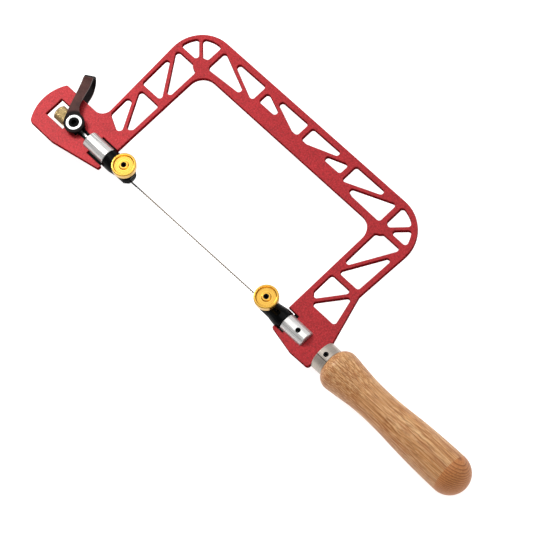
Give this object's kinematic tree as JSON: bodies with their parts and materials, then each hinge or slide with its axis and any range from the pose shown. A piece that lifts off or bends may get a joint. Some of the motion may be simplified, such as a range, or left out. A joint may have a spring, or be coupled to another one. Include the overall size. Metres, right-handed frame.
{
  "type": "coping saw",
  "caption": "Fretwork coping saw: truss plate frame, swivelling blade clamps with thumbscrews, U-shaped tension lever with an adjusting nut, and a turned wooden handle.",
  "frame": {"origin": "on the blade axis at the rear clamp screw", "axes": "+X along the blade towards the handle, +Y from the blade towards the spine, +Z out of the plate on the thumbscrew side"},
  "size_m": [0.351, 0.1161, 0.0272],
  "materials": {
    "red_anodised": "anodised red, fine bead-blasted grain",
    "black_steel": "black oxide, slightly glossy",
    "bright_steel": "turned bright",
    "polished_steel": "polished",
    "ferrule_nickel": "nickel plated, brushed",
    "browned_steel": "browned, satin",
    "knurled_brass": "aged brass with a diamond knurl",
    "brass": "turned brass, lacquered",
    "beech": "oiled beech, grain along the handle",
    "blade_steel": "tempered, blued near one end"
  },
  "bodies": {
    "frame": {"frame_plate": "red_anodised", "cam_saddle": "black_steel", "rear_sleeve": "bright_steel", "rear_guide_strips": "black_steel", "rear_detent_ball": "polished_steel", "rear_detent_spring": "bright_steel", "rear_detent_screw": "black_steel", "ferrule": "ferrule_nickel", "ferrule_set_screw": "black_steel", "handle": "beech"},
    "trunnion_carriage": {"lever_trunnion": "black_steel", "thrust_washer": "bright_steel"},
    "lever": {"lever_yoke": "browned_steel", "pivot_rings": "polished_steel", "lever_cams": "black_steel"},
    "nut": {"adjusting_nut": "knurled_brass"},
    "front_slide": {"tension_rod": "bright_steel", "front_sleeve": "bright_steel", "front_guide_strips": "black_steel", "front_detent_ball": "polished_steel", "front_detent_spring": "bright_steel", "front_detent_screw": "black_steel"},
    "front_clamp": {"front_swivel_clamp": "black_steel"},
    "front_pad": {"front_pressure_pad": "brass"},
    "front_screw": {"front_thumbscrew": "brass", "front_screw_stud": "black_steel"},
    "rear_clamp": {"rear_swivel_clamp": "black_steel", "blade": "blade_steel"},
    "rear_pad": {"rear_pressure_pad": "brass"},
    "rear_screw": {"rear_thumbscrew": "brass", "rear_screw_stud": "black_steel"}
  },
  "joints": [
    {"name": "lever_turn", "type": "hinge", "parent": "trunnion_carriage", "child": "lever", "pos_m": [-0.165, 0, 0], "axis": [0, 0, 1], "range_deg": [0, 100]},
    {"name": "tension_slide", "type": "slide", "parent": "frame", "child": "trunnion_carriage", "axis": [1, 0, 0], "range_m": [0, 0.0015]},
    {"name": "nut_turn", "type": "hinge", "parent": "trunnion_carriage", "child": "nut", "pos_m": [-0.175, 0, 0], "axis": [1, 0, 0], "range_deg": [-1440, 360]},
    {"name": "rod_slide", "type": "slide", "parent": "trunnion_carriage", "child": "front_slide", "axis": [1, 0, 0], "range_m": [-0.0005, 0.002]},
    {"name": "rear_swivel", "type": "hinge", "parent": "frame", "child": "rear_clamp", "pos_m": [0.023, 0, 0], "axis": [1, 0, 0], "continuous": true},
    {"name": "front_swivel", "type": "hinge", "parent": "front_slide", "child": "front_clamp", "pos_m": [-0.143, 0, 0], "axis": [1, 0, 0], "continuous": true},
    {"name": "rear_screw_turn", "type": "hinge", "parent": "rear_pad", "child": "rear_screw", "pos_m": [0, 0, 0.01], "axis": [0, 0, 1], "range_deg": [0, 720]},
    {"name": "rear_pad_slide", "type": "slide", "parent": "rear_clamp", "child": "rear_pad", "axis": [0, 0, 1], "range_m": [0, 0.0014]},
    {"name": "front_screw_turn", "type": "hinge", "parent": "front_pad", "child": "front_screw", "pos_m": [-0.12, 0, 0.01], "axis": [0, 0, 1], "range_deg": [0, 720]},
    {"name": "front_pad_slide", "type": "slide", "parent": "front_clamp", "child": "front_pad", "axis": [0, 0, 1], "range_m": [0, 0.0014]}
  ],
  "couplings": [
    {"joint": "lever_turn", "follows": "tension_slide", "rad_per_m": 1163.6},
    {"joint": "nut_turn", "follows": "rod_slide", "rad_per_m": -12566},
    {"joint": "front_swivel", "follows": "rear_swivel", "ratio": 1},
    {"joint": "rear_screw_turn", "follows": "rear_pad_slide", "rad_per_m": 8976},
    {"joint": "front_screw_turn", "follows": "front_pad_slide", "rad_per_m": 8976}
  ]
}
